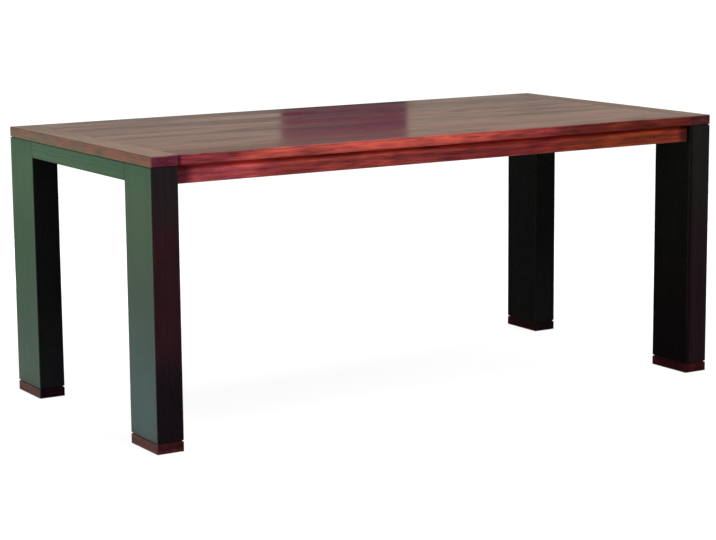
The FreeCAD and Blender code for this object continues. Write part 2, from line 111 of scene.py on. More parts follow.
LAMPS = {
    "key": Lamp(KEY_PLACE, KEY_AIM, KEY_SIZE, KEY_WATTS),
    "right_fill": Lamp(RIGHT_FILL_PLACE, (TABLE_RIGHT, 0.0, FILL_HEIGHT), FILL_SIZE, FILL_WATTS),
    "back_fill": Lamp(BACK_FILL_PLACE, (0.0, TABLE_BACK, FILL_HEIGHT), FILL_SIZE, FILL_WATTS),
}

# A grey wall all round, dark near the floor, which the polished top mirrors.
# The shades of this and the next cards are shares of a card's height, each with the colour there.
WALL_RADIUS = 9.0
WALL_HEIGHT = 8.0
WALL_SHADES = ((0.11, (0.02, 0.02, 0.02, 1.0)), (0.16, (0.428, 0.397, 0.325, 1.0)))

# A dark gap in the wall, behind the table as the camera sees it, that the top mirrors
GAP_DISTANCE = 4.0
GAP_OFFSET = -0.083
GAP_WIDTH = 0.60
GAP_HEIGHT = 1.42
GAP_SHADES = ((0.84, (0.03, 0.00, 0.05, 1.0)), (0.905, (0.30, 0.19, 0.20, 1.0)))

# Two pale green panels beside the left end, which that end mirrors, with feet along the floor
PANEL_DISTANCE = 0.10
PANEL_FOOT_DISTANCE = 0.048
PANEL_X = TABLE_LEFT - PANEL_DISTANCE
PANEL_FOOT_X = TABLE_LEFT - PANEL_FOOT_DISTANCE
PANEL_FRONT = -0.6
PANEL_SEAM = 0.2
PANEL_BACK = 0.95
PANEL_Y_LIMITS = ((PANEL_FRONT, PANEL_SEAM), (PANEL_SEAM, PANEL_BACK))
PANEL_HEIGHT = 0.75
PANEL_LOW_SHADES = (
    ((0.13, (0.84, 1.28, 1.22, 1.0)), (0.50, (0.78, 1.18, 0.86, 1.0))),
    ((0.13, (0.80, 1.18, 0.92, 1.0)), (0.50, (0.70, 1.20, 0.72, 1.0))),
)
PANEL_HIGH_SHADES = (
    (0.83, (0.88, 1.44, 0.86, 1.0)),
    (0.93, (0.72, 1.46, 0.84, 1.0)),
    (0.96, (0.72, 1.12, 0.84, 1.0)),
)

# A pale strip on the floor between the panels and the left end, which the feet mirror
STRIP_DISTANCE = 0.002
STRIP_X = TABLE_LEFT - STRIP_DISTANCE
STRIP_SHADES = ((0.0, (0.62, 0.44, 0.39, 1.0)),)

# A dark cloth on the floor, which the upright faces mirror
CLOTH_RADIUS = 8.9
CLOTH_SHADES = ((0.0, (0.02, 0.02, 0.02, 1.0)),)
CLOTH_LEVEL = 0.0005
STRIP_LEVEL = 2 * CLOTH_LEVEL

# Wood figure: sizes in metres, rates in features per metre. Noise runs from 0 to 1 about its middle.
NOISE_MIDDLE = 0.5
MIDDLE_TONE = 0.5
PITH_DEPTH = 0.09
RING_RATE = 110.0
RING_DETAIL = 3.0
RING_ROUGHNESS = 0.55
RING_CONTRAST = 0.60
WANDER_RATE = 5.0
WANDER_DETAIL = 3.0
WANDER_STRETCH = 0.3
WANDER_REACH = 0.03
CURL_RATE = 45.0
CURL_DETAIL = 3.0
CURL_STRETCH = 0.22
CLOUD_RATE = 4.0
CLOUD_DETAIL = 1.0
CLOUD_STRETCH = 0.2
CLOUD_CONTRAST = 0.30
FIBRE_RATE = 520.0
FIBRE_DETAIL = 2.0
FIBRE_STRETCH = 0.035
PORE_STOPS = ((0.34, (0.45, 0.45, 0.45, 1.0)), (0.50, (1.0, 1.0, 1.0, 1.0)))
END_GRAIN_LIMITS = (0.6, 0.8)
ROUGHNESS_LIMITS = (0.7, 0.25)
RING_SHEEN_SHARE = 0.9
RELIEF_DEPTH = 0.0006
RING_RELIEF_SHARE = 0.4
SHIFT_STEP = (0.731, 0.0, 0.0137)

# Wear along the edges, which on the top also stands for a painted highlight along its rounded arris
WEAR_WIDTH = 0.0040
WEAR_RATE = 14.0
WEAR_DETAIL = 3.0
WEAR_PATCH_LIMITS = (0.25, 0.65)
WEAR_LEAST_SHARE = 0.45

# The shadow line under the top, painted shade: the aprons' colour deepened to a darker red in a band just
# under the top's overhang
SHADOW_LINE_DEPTH = 0.010
SHADOW_LINE_Z = TOP_UNDERSIDE - SHADOW_LINE_DEPTH
SHADOW_LINE_BLUR = 0.004
PAINTED_SHADE_TINT = (1.85, 0.55, 0.22, 1.0)

Finish = namedtuple(
    "Finish", "colour streaks curl pore_share end_tint worn wear_share roughness specular relief"
)

FINISHES = {
    "red_brown": Finish(
        colour=(0.135, 0.0175, 0.0195, 1.0),
        streaks=(
            (0.30, (0.45, 0.48, 0.58, 1.0)),
            (0.45, (0.80, 0.82, 0.87, 1.0)),
            (0.56, (1.15, 1.17, 1.10, 1.0)),
            (0.70, (1.75, 1.80, 1.40, 1.0)),
        ),
        curl=0.58,
        pore_share=0.8,
        end_tint=(0.46, 0.55, 1.10, 1.0),
        worn=(0.34, 0.14, 0.10, 1.0),
        wear_share=0.20,
        roughness=(0.14, 0.24),
        specular=0.20,
        relief=0.10,
    ),
    "dark": Finish(
        colour=(0.0105, 0.0050, 0.0066, 1.0),
        streaks=(
            (0.30, (0.70, 0.82, 0.82, 1.0)),
            (0.72, (1.35, 1.20, 1.18, 1.0)),
        ),
        curl=0.4,
        pore_share=0.5,
        end_tint=(0.6, 0.6, 0.6, 1.0),
        worn=(0.050, 0.014, 0.012, 1.0),
        wear_share=0.12,
        roughness=(0.24, 0.34),
        specular=0.25,
        relief=0.06,
    ),
    "plain": Finish(
        colour=(0.26, 0.140, 0.072, 1.0),
        streaks=(
            (0.30, (0.62, 0.57, 0.56, 1.0)),
            (0.72, (1.46, 1.57, 1.67, 1.0)),
        ),
        curl=0.2,
        pore_share=0.4,
        end_tint=(0.7, 0.65, 0.6, 1.0),
        worn=(0.45, 0.30, 0.18, 1.0),
        wear_share=0.4,
        roughness=(0.55, 0.75),
        specular=0.25,
        relief=0.25,
    ),
}
# The top's paler wear along its edges is also a painted highlight on the rounded arris.
FINISHES["top"] = FINISHES["red_brown"]._replace(
    worn=(0.20, 0.12, 0.10, 1.0),
    wear_share=0.35,
    roughness=(0.11, 0.27),
)
FINISHES["foot"] = FINISHES["red_brown"]._replace(wear_share=0.03)

# Which way the grain runs, as the order in which X, Y and Z become along, across and deep
GRAIN_X = (0, 1, 2)
GRAIN_Y = (1, 0, 2)
GRAIN_Z = (2, 1, 0)

# Finish and grain of the wooden pieces, by the start of their names
WOODEN = {
    "top_board": ("top", GRAIN_X),
    "breadboard_pegs": ("plain", GRAIN_Z),
    "breadboard": ("top", GRAIN_Y),
    "apron_dowels": ("plain", GRAIN_X),
    "apron": ("red_brown", GRAIN_X),
    "foot_dowels": ("plain", GRAIN_Z),
    "foot": ("foot", GRAIN_Y),
    "leg": ("dark", GRAIN_Z),
    "end_rail": ("dark", GRAIN_Y),
    "cross_batten": ("plain", GRAIN_Y),
    "corner_block": ("plain", GRAIN_X),
    "top_buttons_front": ("plain", GRAIN_Y),
    "top_buttons_back": ("plain", GRAIN_Y),
    "top_buttons": ("plain", GRAIN_X),
}

# Material slots of the pieces that aren't wood
FITTINGS = {
    "button_screws": "steel",
    "batten_screws": "steel",
    "block_screws": "steel",
    "leg_bolts": "steel",
    "bolt_washers": "steel",
    "leg_inserts": "brass",
    "foot_glides": "nylon",
}

# How much lighter or darker a piece is than its finish
TONES = {
    "top_board_1": 0.02,
    "top_board_2": 0.05,
    "top_board_3": -0.02,
    "top_board_4": -0.04,
    "top_board_5": 0.04,
    "top_board_6": 0.06,
    "top_board_7": -0.03,
    "top_board_8": 0.04,
    "top_board_9": -0.02,
    "breadboard_left": 0.05,
    "breadboard_right": 0.02,
    "apron_back": -0.02,
    # The feet darker than their finish, the back ones most: painted shade under the table.
    "foot_front_left": -0.04,
    "foot_front_right": -0.06,
    "foot_back_left": -0.14,
    "foot_back_right": -0.14,
}

# How much bolder a piece's rings, curl and clouds are than those of its finish, by the start of its name
PLAIN_BOLDNESS = (1.0, 1.0, 1.0)
BOLDNESS = {
    "top_board_1": PLAIN_BOLDNESS,
    "top_board": (1.5, 0.7, 1.3),
    "breadboard_pegs": PLAIN_BOLDNESS,
    "breadboard": (1.1, 1.1, 1.1),
    "apron_dowels": PLAIN_BOLDNESS,
    "apron": (0.75, 1.0, 0.9),
    "": PLAIN_BOLDNESS,
}

# Knots and pale or dark figure that the photograph shows, with painted shade and painted reflection
# tints on the legs, the feet and the apron's ends, and a painted sheen on the breadboards. A patch has a
# place, how far it reaches from there along X, Y and Z, its colour, and how much of that colour its core
# has.
# A skin is how deep it reaches into the wood, so that a thin one shows on one face only.
Patch = namedtuple("Patch", "place reach colour share")
PATCH_CORE_SHARE = 0.4
SKIN = 0.012
DEEP_SKIN = 0.03
APRON_SKIN = 0.05
TOP_SKIN = 0.006
END_SKIN = 0.003

# Spans along X on the front edge of the top and on the front apron: lighter and darker stretches,
# knots and a dark spot, and painted shade at the apron's ends by the legs.
# A rise is how far they reach up and down.
Span = namedtuple("Span", "middle reach")
DARK_EDGE = Span(middle=0.75, reach=0.48)
PALE_EDGE = Span(middle=-0.29, reach=0.68)
DULL_EDGE = Span(middle=-0.75, reach=0.14)
EDGE_KNOT = Span(middle=0.392, reach=0.055)
EDGE_SPOT = Span(middle=APRON_LEFT, reach=0.014)
EDGE_CORNER = Span(middle=RIGHT_LEG_X, reach=0.10)
EDGE_RISE = 0.06
EDGE_KNOT_RISE = 0.035
DARK_APRON = Span(middle=0.30, reach=0.60)
PALE_APRON = Span(middle=-0.40, reach=0.60)
ROSE_APRON = Span(middle=-0.72, reach=0.22)
AMBER_APRON = Span(middle=0.62, reach=0.32)
# The apron's ends by the legs are darkened with painted shade.
LEFT_APRON_END = Span(middle=APRON_LEFT, reach=0.060)
RIGHT_APRON_END = Span(middle=APRON_RIGHT, reach=0.040)
APRON_RISE = 0.10
AMBER_RISE = 0.06
APRON_END_RISE = 0.08

# Spans along Y on the left end of the top, and along Z on the left front leg, where they paint shade and
# reflection tints
RED_END = Span(middle=0.0, reach=0.80)
BROWN_END = Span(middle=0.25, reach=0.14)
HIGH_KNOT = Span(middle=0.12, reach=0.045)
LOW_KNOT = Span(middle=-0.14, reach=0.040)
END_RISE = 0.03
END_KNOT_RISE = 0.012
KNOT_OFFSET = 0.003
LEG_HEAD = Span(middle=0.70, reach=0.16)
LEG_WAIST = Span(middle=0.42, reach=0.34)
LEG_FOOT = Span(middle=0.06, reach=0.24)
LEG_FACE_REACH = 0.10

# Places and reaches of the other patches, with the colours and shares that some have in common
RIM_KNOT_X = -0.667
RIM_KNOT_PLACE = (RIM_KNOT_X, TABLE_FRONT, TOP_LEVEL - KNOT_OFFSET)
RIM_KNOT_REACH = (0.030, DEEP_SKIN, 0.016)
PIN_KNOTS_X = (0.690, 0.704)
PIN_KNOT_DROP = 0.005
PIN_KNOT_LEVEL = APRON_LEVEL - PIN_KNOT_DROP
PIN_KNOT_REACH = (0.005, 0.01, 0.005)
PIN_KNOT_COLOUR = (0.01, 0.003, 0.003, 1.0)
PIN_KNOT_SHARE = 0.6
END_KNOT_COLOUR = (0.08, 0.012, 0.010, 1.0)
# The breadboards' upper faces made paler: a painted sheen.
BREADBOARD_REACH = (0.12, 0.85, TOP_SKIN)
BREADBOARD_SHEEN_COLOUR = (0.175, 0.066, 0.044, 1.0)
BREADBOARD_SHARE = 0.75
# Reaches of the painted shade on the feet
FOOT_REACH = (0.12, 0.14, 0.10)
FOOT_FACE_REACH = (0.10, SKIN, 0.10)
FOOT_SHARE = 0.9
# Reaches of the painted shade and reflection tints on the legs
LEG_REACH = (0.30, 0.40, 1.20)
LEG_HEAD_REACH = (0.14, 0.24, 0.40)
LEG_INSIDE_REACH = (0.02, 0.30, 1.20)
RIGHT_LEG_HEAD = (RIGHT_LEG_X, FRONT_LEG_Y, LEG_HEAD.middle)
RIGHT_LEG_INSIDE = (APRON_RIGHT, FRONT_LEG_Y, LEG_LEVEL)


def edge_patch(span, colour, share, skin=SKIN, rise=EDGE_RISE):
    """A patch on the front edge of the top."""
    return Patch((span.middle, TABLE_FRONT, EDGE_LEVEL), (span.reach, skin, rise), colour, share)


def apron_patch(span, colour, share, skin=APRON_SKIN, rise=APRON_RISE):
    """A patch on the front apron."""
    return Patch((span.middle, APRON_FRONT, APRON_LEVEL), (span.reach, skin, rise), colour, share)


def pin_knot(x):
    """A pin knot on the front apron."""
    return Patch((x, APRON_FRONT, PIN_KNOT_LEVEL), PIN_KNOT_REACH, PIN_KNOT_COLOUR, PIN_KNOT_SHARE)


def end_patch(span, colour, share, offset=0.0, rise=END_RISE):
    """A patch on the left end of the top, offset upwards from the middle of its thickness."""
    place = (TABLE_LEFT, span.middle, EDGE_LEVEL + offset)
    return Patch(place, (END_SKIN, span.reach, rise), colour, share)


def breadboard_sheen_patch(x):
    """A painted sheen: the upper face of a breadboard made paler."""
    return Patch((x, 0.0, TOP_LEVEL), BREADBOARD_REACH, BREADBOARD_SHEEN_COLOUR, BREADBOARD_SHARE)


def leg_patch(span, colour, share):
    """A patch of painted shade and reflection tint on the front of the left front leg."""
    place = (LEFT_LEG_X, TABLE_FRONT, span.middle)
    return Patch(place, (LEG_FACE_REACH, DEEP_SKIN, span.reach), colour, share)


def foot_patch(x, y, reach, colour):
    """A patch of painted shade on a foot."""
    return Patch((x, y, FOOT_LEVEL), reach, colour, FOOT_SHARE)


PATCHES = {
    "top_board_1": (
        edge_patch(DARK_EDGE, (0.068, 0.010, 0.0055, 1.0), 0.8),
        edge_patch(PALE_EDGE, (0.335, 0.053, 0.042, 1.0), 0.85),
        edge_patch(DULL_EDGE, (0.15, 0.020, 0.034, 1.0), 0.55),
        Patch(RIM_KNOT_PLACE, RIM_KNOT_REACH, (0.06, 0.012, 0.010, 1.0), 0.5),
        edge_patch(EDGE_KNOT, (0.05, 0.008, 0.007, 1.0), 0.55, DEEP_SKIN, EDGE_KNOT_RISE),
        edge_patch(EDGE_SPOT, (0.035, 0.005, 0.008, 1.0), 0.85, DEEP_SKIN),
    ),
    "apron_front": (
        apron_patch(DARK_APRON, (0.095, 0.0120, 0.0125, 1.0), 0.8),
        apron_patch(PALE_APRON, (0.200, 0.034, 0.027, 1.0), 0.5),
        apron_patch(ROSE_APRON, (0.300, 0.046, 0.058, 1.0), 0.65),
        apron_patch(AMBER_APRON, (0.112, 0.0203, 0.0069, 1.0), 0.75, rise=AMBER_RISE),
        *(pin_knot(x) for x in PIN_KNOTS_X),
        # Painted shade at both ends of the apron, where it meets the legs.
        apron_patch(LEFT_APRON_END, (0.035, 0.005, 0.010, 1.0), 0.85, DEEP_SKIN, APRON_END_RISE),
        apron_patch(RIGHT_APRON_END, (0.030, 0.005, 0.004, 1.0), 0.85, DEEP_SKIN, APRON_END_RISE),
    ),
    "breadboard_left": (
        breadboard_sheen_patch(LEFT_LEG_X),
        end_patch(RED_END, (0.37, 0.035, 0.029, 1.0), 0.65),
        end_patch(BROWN_END, (0.18, 0.040, 0.028, 1.0), 0.65),
        end_patch(HIGH_KNOT, END_KNOT_COLOUR, 0.4, KNOT_OFFSET, END_KNOT_RISE),
        end_patch(LOW_KNOT, END_KNOT_COLOUR, 0.4, -KNOT_OFFSET, END_KNOT_RISE),
    ),
    "breadboard_right": (
        breadboard_sheen_patch(RIGHT_LEG_X),
        edge_patch(EDGE_CORNER, (0.110, 0.022, 0.010, 1.0), 0.9),
    ),
    # The feet darkened, the right and back ones most: painted shade.
    "foot_front_left": (
        foot_patch(LEFT_LEG_X, TABLE_FRONT, FOOT_FACE_REACH, (0.095, 0.018, 0.009, 1.0)),
    ),
    "foot_front_right": (
        foot_patch(RIGHT_LEG_X, FRONT_LEG_Y, FOOT_REACH, (0.035, 0.006, 0.007, 1.0)),
        foot_patch(RIGHT_LEG_X, TABLE_FRONT, FOOT_FACE_REACH, (0.060, 0.010, 0.005, 1.0)),
    ),
    "foot_back_left": (
        foot_patch(LEFT_LEG_X, BACK_LEG_FRONT, FOOT_FACE_REACH, (0.022, 0.005, 0.004, 1.0)),
    ),
    "foot_back_right": (
        foot_patch(RIGHT_LEG_X, BACK_LEG_Y, FOOT_REACH, (0.012, 0.006, 0.006, 1.0)),
        foot_patch(RIGHT_LEG_X, BACK_LEG_FRONT, FOOT_FACE_REACH, (0.030, 0.010, 0.006, 1.0)),
    ),
    # Painted reflection tints and shade on the left front leg: grey at the head, maroon at the waist,
    # blue-black at the foot.
    "leg_front_left": (
        leg_patch(LEG_WAIST, (0.021, 0.0056, 0.0085, 1.0), 0.7),
        leg_patch(LEG_HEAD, (0.0105, 0.0090, 0.0100, 1.0), 0.8),
        leg_patch(LEG_FOOT, (0.0045, 0.0036, 0.0060, 1.0), 0.8),
    ),
    # A grey painted reflection on the head of the right front leg, and painted shade on its inner face.
    "leg_front_right": (
        Patch(RIGHT_LEG_HEAD, LEG_HEAD_REACH, (0.0080, 0.0080, 0.0075, 1.0), 0.8),
        Patch(RIGHT_LEG_INSIDE, LEG_INSIDE_REACH, (0.0024, 0.0018, 0.0018, 1.0), 0.85),
    ),
    # The back legs darkened with a blue or green tint: painted shade and reflection.
    "leg_back_left": (
        Patch((LEFT_LEG_X, BACK_LEG_Y, LEG_LEVEL), LEG_REACH, (0.0050, 0.0055, 0.0072, 1.0), 0.8),
    ),
    "leg_back_right": (
        Patch((RIGHT_LEG_X, BACK_LEG_Y, LEG_LEVEL), LEG_REACH, (0.0045, 0.0066, 0.0058, 1.0), 0.8),
    ),
}

# Metal: dull patches and fine scratches
Metal = namedtuple("Metal", "pale dark roughness")
STEEL = Metal(pale=(0.56, 0.57, 0.58, 1.0), dark=(0.33, 0.34, 0.36, 1.0), roughness=0.28)
BRASS = Metal(pale=(0.72, 0.50, 0.20, 1.0), dark=(0.45, 0.29, 0.11, 1.0), roughness=0.30)
DULL_RATE = 180.0
DULL_DETAIL = 3.0
DARK_STOP = 0.35
PALE_STOP = 0.62
DULL_LIMITS = (0.3, 0.7)
DULL_ROUGHNESS = 0.18
SCRATCH_RATE = 2400.0
SCRATCH_DETAIL = 2.0
SCRATCH_STRENGTH = 0.15
SCRATCH_DEPTH = 0.0001

# Nylon: pale scuffs
SCUFF_RATE = 420.0
SCUFF_DETAIL = 4.0
SCUFF_STOPS = ((0.40, (0.030, 0.018, 0.012, 1.0)), (0.70, (0.075, 0.052, 0.040, 1.0)))
SCUFF_LIMITS = (0.3, 0.7)
SCUFF_ROUGHNESS = (0.38, 0.62)
SCUFF_STRENGTH = 0.2
SCUFF_DEPTH = 0.0002

# Turned pieces
SAME_PLACE = 0.00002
LEVEL_DIGITS = 5
SHARP_DEGREES = 35.0
SCREW_SIDES = 32
BOLT_SIDES = 36
ROUND_SIDES = 40
THREAD_STEPS = 4
RIM_ROUND = 0.0003
PAN_HEAD_SHARES = ((0.0, 0.70), (0.10, 0.86), (0.35, 0.97), (0.70, 1.0), (1.0, 0.98))
RECESS_RING_SHARES = (0.05, 0.14, 0.24, 0.34, 0.44, 0.54, 0.62)
RECESS_REACH_SHARE = 0.58
RECESS_WIDTH_SHARE = 0.24
RECESS_DEPTH_SHARE = 0.65
SCREW_PITCH = 0.0024
SCREW_THREAD_DEPTH = 0.0006
SCREW_PLAIN_SHARE = 0.35
SCREW_POINT_SHARE = 0.88
SCREW_TIP_SHARE = 0.1
SOCKET_DEPTH_SHARE = 0.5
HEAD_CHAMFER = 0.0007
KNURL_SHARE = 0.025
BOLT_PITCH = 0.00125
BOLT_THREAD_DEPTH = 0.00055
BOLT_PLAIN_SHARE = 0.42
INSERT_PITCH = 0.003
INSERT_THREAD_DEPTH = 0.0008
DOWEL_CHAMFER = 0.0012
FLUTES = 10
FLUTE_SHARE = 0.05
GLIDE_RIM_SHARES = ((0.35, 0.995), (0.65, 0.975), (0.88, 0.945), (1.0, 0.90))
GLIDE_PIT_SHARES = ((0.0, 0.36), (0.22, 0.31))


# Node helpers, with the numbers of a mix node's colour sockets
MIX_FACTOR = 0
MIX_FIRST = 6
MIX_SECOND = 7
MIX_RESULT = 2


def add(tree, kind, inputs=None, **settings):
    """Adds a node, sets its properties, and fills or links its inputs."""
    node = tree.nodes.new(kind)
    for name, value in settings.items():
        setattr(node, name, value)
    for key, value in (inputs or {}).items():
        if isinstance(value, bpy.types.NodeSocket):
            tree.links.new(value, node.inputs[key])
        else:
            node.inputs[key].default_value = value
    return node


def math_of(tree, operation, *values, clamp=False):
    """The result of a maths node."""
    inputs = dict(enumerate(values))
    return add(tree, "ShaderNodeMath", inputs, operation=operation, use_clamp=clamp).outputs[0]


def vector_of(tree, operation, *values):
    """The result of a vector maths node."""
    node = add(tree, "ShaderNodeVectorMath", dict(enumerate(values)), operation=operation)
    return node.outputs["Value" if operation == "LENGTH" else "Vector"]


def range_of(tree, value, low, high, new_low=0.0, new_high=1.0):
    """A value carried from one range to another, smoothly and within the ends."""
    inputs = {"Value": value, "From Min": low, "From Max": high, "To Min": new_low, "To Max": new_high}
    return add(tree, "ShaderNodeMapRange", inputs, interpolation_type="SMOOTHSTEP").outputs["Result"]


def noise_of(tree, vector, rate, detail):
    """Soft noise between 0 and 1 at a number of features per metre."""
    return add(tree, "ShaderNodeTexNoise", {"Vector": vector, "Scale": rate, "Detail": detail}).outputs[0]


def mixed(tree, factor, first, second, blend="MIX"):
    """Two colours mixed by a factor."""
    inputs = {MIX_FACTOR: factor, MIX_FIRST: first, MIX_SECOND: second}
    return add(tree, "ShaderNodeMix", inputs, data_type="RGBA", blend_type=blend).outputs[MIX_RESULT]


def ramp_of(tree, factor, stops):
    """A colour read from a ramp of (place, colour) stops."""
    node = add(tree, "ShaderNodeValToRGB", {"Fac": factor})
    elements = node.color_ramp.elements
    while len(elements) > len(stops):
        elements.remove(elements[-1])
    while len(elements) < len(stops):
        elements.new(1.0)
    for element, (place, colour) in zip(elements, stops):
        element.position = place
        element.color = colour
    return node.outputs["Color"]


def place_in_frame(tree):
    """Where a point of the surface is, in the frame."""
    return add(tree, "ShaderNodeTexCoord").outputs["Object"]


def parts_of(tree, vector):
    """The X, Y and Z of a vector."""
    return add(tree, "ShaderNodeSeparateXYZ", {"Vector": vector}).outputs


def blank_material(name):
    """A new material with its tree and its surface shader."""
    material = bpy.data.materials.new(name)
    material.use_nodes = True
    return material, material.node_tree, material.node_tree.nodes["Principled BSDF"]


def add_relief(tree, shader, height, strength, depth):
    """Bumps the shader's surface by a height."""
    bump = add(tree, "ShaderNodeBump", {"Strength": strength, "Distance": depth, "Height": height})
    tree.links.new(bump.outputs["Normal"], shader.inputs["Normal"])


# Wood

Figure = namedtuple("Figure", "rings curl cloud fibres")


def by_start(table, name):
    """The first entry of a table whose key starts the name of a piece."""
    return next(entry for start, entry in table.items() if name.startswith(start))


def grain_place(tree, order, box, number):
    """Place within a piece, with the grain along X, shifted so that no two pieces share a figure."""
    middle = middle_of(box)
    shift = [SHIFT_STEP[i] * number - middle[order[i]] for i in range(3)]
    parts = parts_of(tree, place_in_frame(tree))
    turned = add(tree, "ShaderNodeCombineXYZ", {i: parts[order[i]] for i in range(3)}).outputs["Vector"]
    return vector_of(tree, "ADD", turned, shift)


def drawn_out(tree, grain, stretch):
    """Place in a piece drawn out along the grain, so that a figure runs long."""
    return vector_of(tree, "MULTIPLY", grain, (stretch, 1.0, 1.0))


def ring_figure(tree, grain):
    """Growth rings about a pith below the piece, bent by a slow wander along the grain."""
    slow = drawn_out(tree, grain, WANDER_STRETCH)
    wander = {"Vector": slow, "Scale": WANDER_RATE, "Detail": WANDER_DETAIL}
    noise = add(tree, "ShaderNodeTexNoise", wander).outputs["Color"]
    swing = vector_of(tree, "SUBTRACT", noise, (NOISE_MIDDLE,) * 3)
    bent = vector_of(tree, "MULTIPLY_ADD", swing, (WANDER_REACH,) * 3, grain)
    section = vector_of(tree, "MULTIPLY", bent, (0.0, 1.0, 1.0))
    radius = vector_of(tree, "LENGTH", vector_of(tree, "ADD", section, (0.0, 0.0, PITH_DEPTH)))
    inputs = {"W": radius, "Scale": RING_RATE, "Detail": RING_DETAIL, "Roughness": RING_ROUGHNESS}
    return add(tree, "ShaderNodeTexNoise", inputs, noise_dimensions="1D").outputs[0]


def figure_of(tree, grain):
    """The growth rings, curl, broad clouds of tone and fine fibres of a piece."""
    return Figure(
        rings=ring_figure(tree, grain),
        curl=noise_of(tree, drawn_out(tree, grain, CURL_STRETCH), CURL_RATE, CURL_DETAIL),
        cloud=noise_of(tree, drawn_out(tree, grain, CLOUD_STRETCH), CLOUD_RATE, CLOUD_DETAIL),
        fibres=noise_of(tree, drawn_out(tree, grain, FIBRE_STRETCH), FIBRE_RATE, FIBRE_DETAIL),
    )


def tone_of(tree, name, finish, figure):
    """How light the wood of a piece is, from its rings, curl and clouds."""
    usual = (RING_CONTRAST, finish.curl, CLOUD_CONTRAST)
    contrasts = [bold * contrast for bold, contrast in zip(by_start(BOLDNESS, name), usual)]
    total = MIDDLE_TONE + TONES.get(name, 0.0) - sum(contrasts) * NOISE_MIDDLE
    for part, contrast in zip((figure.rings, figure.curl, figure.cloud), contrasts):
        total = math_of(tree, "MULTIPLY_ADD", part, contrast, total)
    return total


def patched(tree, colour, patches):
    """The colour changed inside each patch, which is soft at its edge."""
    for patch in patches:
        offset = vector_of(tree, "SUBTRACT", place_in_frame(tree), patch.place)
        away = vector_of(tree, "LENGTH", vector_of(tree, "DIVIDE", offset, patch.reach))
        inside = range_of(tree, away, 1.0, PATCH_CORE_SHARE, 0.0, patch.share)
        colour = mixed(tree, inside, colour, patch.colour)
    return colour


def end_grain(tree, order):
    """1 on faces cut across the grain and 0 on the others."""
    normal = add(tree, "ShaderNodeTexCoord").outputs["Normal"]
    return range_of(tree, math_of(tree, "ABSOLUTE", parts_of(tree, normal)[order[0]]), *END_GRAIN_LIMITS)


def worn_box(name, finish, along):
    """The box whose edges wear: the table's, or a piece's, made as long as the table along its grain."""
    if finish is FINISHES["top"]:
        return cad_box
    corners = [list(corner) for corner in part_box(name)]
    for corner, end in zip(corners, cad_box):
        corner[along] = end[along]
    return corners


def edge_wear_and_highlight(tree, box):
    """A mask of wear, which on the top is also a painted highlight: 1 along the edges of a box and 0 away
    from them.
    """
    low, high = (Vector(corner) for corner in box)
    place = place_in_frame(tree)
    away = vector_of(tree, "ABSOLUTE", vector_of(tree, "SUBTRACT", place, middle_of(box)))
    depth = parts_of(tree, vector_of(tree, "SUBTRACT", (high - low) / 2, away))
    total = math_of(tree, "ADD", math_of(tree, "ADD", depth[0], depth[1]), depth[2])
    deepest = math_of(tree, "MAXIMUM", math_of(tree, "MAXIMUM", depth[0], depth[1]), depth[2])
    to_edge = math_of(tree, "SUBTRACT", total, deepest)
    patch = noise_of(tree, place, WEAR_RATE, WEAR_DETAIL)
    reach = range_of(tree, patch, *WEAR_PATCH_LIMITS, WEAR_WIDTH * WEAR_LEAST_SHARE, WEAR_WIDTH)
    return range_of(tree, math_of(tree, "SUBTRACT", reach, to_edge), 0.0, WEAR_WIDTH / 2)


def painted_shade_under_top(tree, colour):
    """The colour deepened to a darker red in the shadow line under the top: painted shade from the top's
    overhang.
    """
    height = parts_of(tree, place_in_frame(tree))["Z"]
    inside = range_of(tree, height, SHADOW_LINE_Z - SHADOW_LINE_BLUR, SHADOW_LINE_Z + SHADOW_LINE_BLUR)
    return mixed(tree, inside, colour, PAINTED_SHADE_TINT, "MULTIPLY")


def wood_colour(tree, name, finish, order, figure):
    """The colour of one wooden piece."""
    tone = tone_of(tree, name, finish, figure)
    plain = patched(tree, finish.colour, PATCHES.get(name, ()))
    colour = mixed(tree, 1.0, plain, ramp_of(tree, tone, finish.streaks), "MULTIPLY")
    colour = mixed(tree, finish.pore_share, colour, ramp_of(tree, figure.fibres, PORE_STOPS), "MULTIPLY")
    tinted = mixed(tree, 1.0, colour, finish.end_tint, "MULTIPLY")
    colour = mixed(tree, end_grain(tree, order), colour, tinted)
    worn = math_of(tree, "MULTIPLY", edge_wear_and_highlight(tree, worn_box(name, finish, order[0])), finish.wear_share)
    colour = mixed(tree, worn, colour, finish.worn)
    # The aprons take the painted shade under the top's overhang.
    return painted_shade_under_top(tree, colour) if name.startswith("apron") else colour


def wood(name, number):
    """The wood of one piece, with its own figure, sheen and grain relief."""
    kind, order = by_start(WOODEN, name)
    finish = FINISHES[kind]
    material, tree, shader = blank_material(name)
    figure = figure_of(tree, grain_place(tree, order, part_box(name), number))
    tree.links.new(wood_colour(tree, name, finish, order, figure), shader.inputs["Base Color"])
    ring_swing = math_of(tree, "SUBTRACT", figure.rings, NOISE_MIDDLE)
    broad = math_of(tree, "MULTIPLY_ADD", ring_swing, RING_SHEEN_SHARE, figure.cloud)
    uneven = math_of(tree, "ADD", figure.fibres, math_of(tree, "SUBTRACT", broad, NOISE_MIDDLE))
    roughness = range_of(tree, uneven, *ROUGHNESS_LIMITS, *finish.roughness)
    tree.links.new(roughness, shader.inputs["Roughness"])
    shader.inputs["Specular IOR Level"].default_value = finish.specular
    height = math_of(tree, "MULTIPLY_ADD", figure.rings, RING_RELIEF_SHARE, figure.fibres)
    add_relief(tree, shader, height, finish.relief, RELIEF_DEPTH)
    return material


# Metal and nylon


